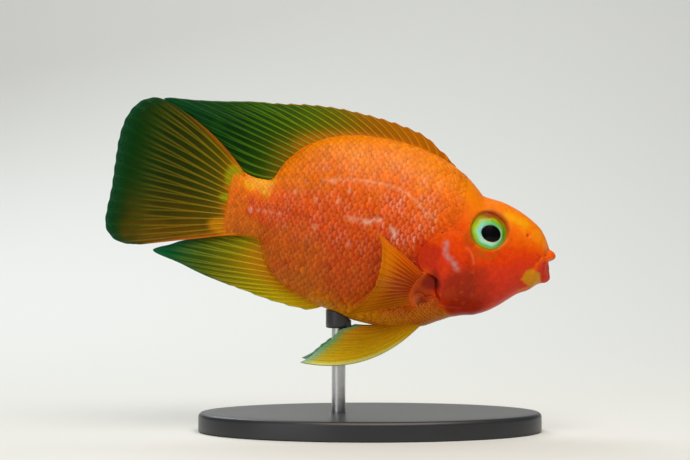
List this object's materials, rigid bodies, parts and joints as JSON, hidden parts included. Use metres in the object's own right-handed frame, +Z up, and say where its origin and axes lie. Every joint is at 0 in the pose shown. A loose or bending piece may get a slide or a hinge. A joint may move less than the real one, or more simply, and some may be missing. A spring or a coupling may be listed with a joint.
{
  "type": "blood parrot cichlid model",
  "caption": "Life-size still model of a deep-bodied orange aquarium fish with a beak-like mouth and spread fins, swimming nose down, held on a rod above an oval display base.",
  "frame": {"origin": "centre of the display base's underside, on the surface it stands on", "axes": "+X the way the fish faces, +Y to the fish's left, +Z up; the fish itself is pitched 10 degrees nose down"},
  "size_m": [0.1616, 0.078, 0.1204],
  "materials": {
    "scaled_skin": "wet orange skin under overlapping scales, satin",
    "head_skin": "smooth wet orange skin without scales, satin",
    "gill_cover_skin": "smooth red-orange skin over the gill cover, satin",
    "amber_fin": "thin translucent amber fin membrane over branching rays",
    "olive_fin": "thin translucent olive and yellow fin membrane over branching rays",
    "eye": "clear wet cornea over a lime green iris and black pupil",
    "brushed_steel": "brushed",
    "charcoal_lacquer": "satin charcoal lacquer"
  },
  "bodies": {
    "root": {"head": "head_skin", "trunk": "scaled_skin", "tail": "scaled_skin", "gill_cover_left": "gill_cover_skin", "gill_cover_right": "gill_cover_skin", "eye_left": "eye", "eye_right": "eye", "dorsal_fin": "olive_fin", "anal_fin": "olive_fin", "caudal_fin": "olive_fin", "pectoral_fin_left": "amber_fin", "pectoral_fin_right": "amber_fin", "pelvic_fin_left": "amber_fin", "pelvic_fin_right": "amber_fin", "stand_base": "charcoal_lacquer", "stand_rod": "brushed_steel", "stand_saddle": "charcoal_lacquer"}
  },
  "joints": []
}
